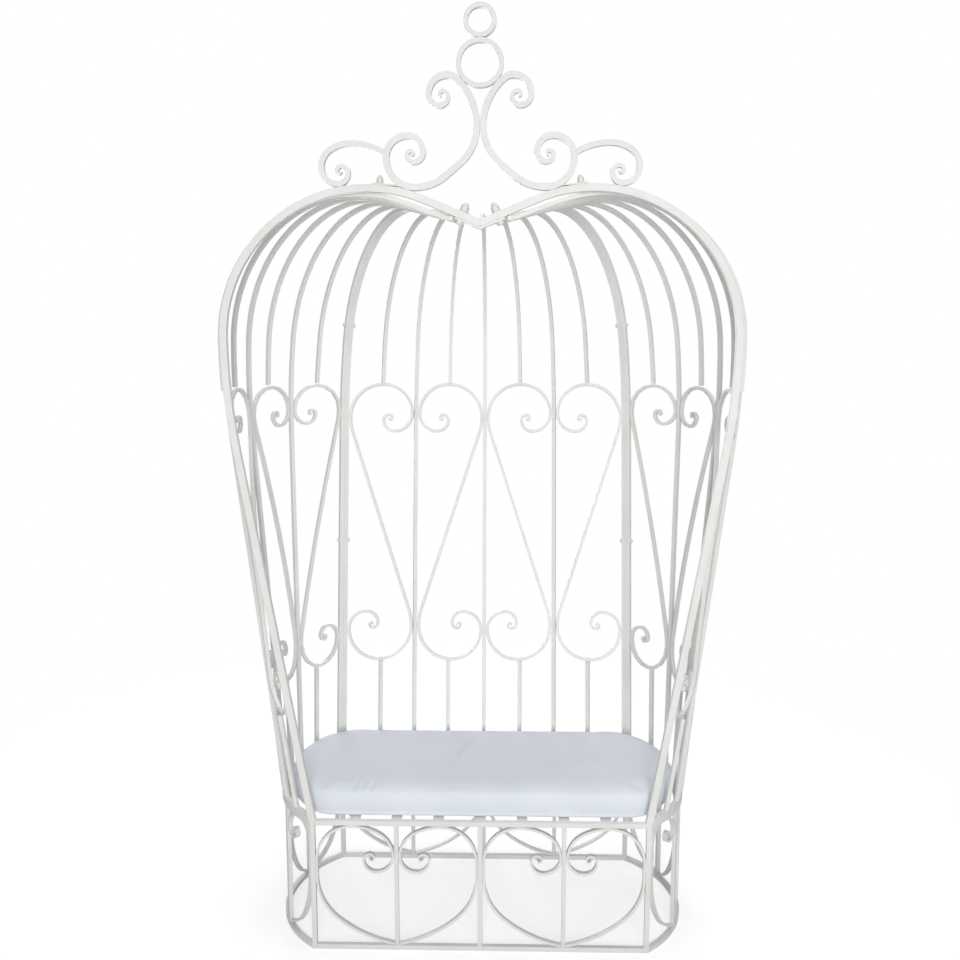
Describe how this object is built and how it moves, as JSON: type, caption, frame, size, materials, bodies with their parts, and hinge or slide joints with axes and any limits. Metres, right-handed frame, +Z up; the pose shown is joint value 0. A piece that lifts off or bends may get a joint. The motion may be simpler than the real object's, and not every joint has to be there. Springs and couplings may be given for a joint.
{
  "type": "birdcage love seat",
  "caption": "Garden love seat in a wrought bar birdcage: heart-shaped front arch, scrolled heart panels all round, ring finial and a loose seat cushion.",
  "frame": {"origin": "Floor level, at the middle of the overall width and depth.", "axes": "+X to the sitter's left as seen from the front (right in a front view), +Y to the back, +Z up; the open arch faces -Y."},
  "size_m": [1.2698, 0.6388, 2.2019],
  "materials": {
    "iron": "satin",
    "hardware": "satin",
    "cushion_fabric": "matte"
  },
  "bodies": {
    "frame": {"arch_left": "iron", "arch_right": "iron", "back_centre_rib": "iron", "back_heart_left": "iron", "back_heart_ribs": "iron", "back_heart_right": "iron", "back_lobe_ribs": "iron", "back_post_left": "iron", "back_post_right": "iron", "back_rail": "iron", "base_back_heart_left": "iron", "base_back_heart_right": "iron", "base_corner_posts": "iron", "base_front_heart_left": "iron", "base_front_heart_right": "iron", "base_heart_bars": "iron", "base_middle_posts": "iron", "base_side_back_heart_left": "iron", "base_side_back_heart_right": "iron", "base_side_front_heart_left": "iron", "base_side_front_heart_right": "iron", "base_side_heart_bars": "iron", "cage_stubs": "iron", "crown_ring": "iron", "cusp_bolts": "hardware", "cusp_bracket": "iron", "finial_bolts": "hardware", "finial_curl_left": "iron", "finial_curl_right": "iron", "finial_ring_large": "iron", "finial_ring_small": "iron", "finial_scroll_left": "iron", "finial_scroll_right": "iron", "finial_tabs": "iron", "floor_rail_back": "iron", "floor_rail_front": "iron", "floor_rail_left": "iron", "floor_rail_right": "iron", "post_bolts": "hardware", "seat_rail_back": "iron", "seat_rail_front": "iron", "seat_rail_left": "iron", "seat_rail_right": "iron", "seat_slats": "iron", "side_back_heart_left": "iron", "side_back_heart_right": "iron", "side_front_heart_left": "iron", "side_front_heart_right": "iron", "side_heart_ribs_left": "iron", "side_heart_ribs_right": "iron", "side_lobe_ribs_left": "iron", "side_lobe_ribs_right": "iron", "side_mid_rib_left": "iron", "side_mid_rib_right": "iron", "side_post_left": "iron", "side_post_right": "iron", "side_rail_left": "iron", "side_rail_right": "iron"},
    "cushion": {"seat_cushion": "cushion_fabric"}
  },
  "joints": [
    {"name": "cushion_lift", "type": "slide", "parent": "frame", "child": "cushion", "axis": [0, 0, 1], "range_m": [0, 0.25]}
  ]
}
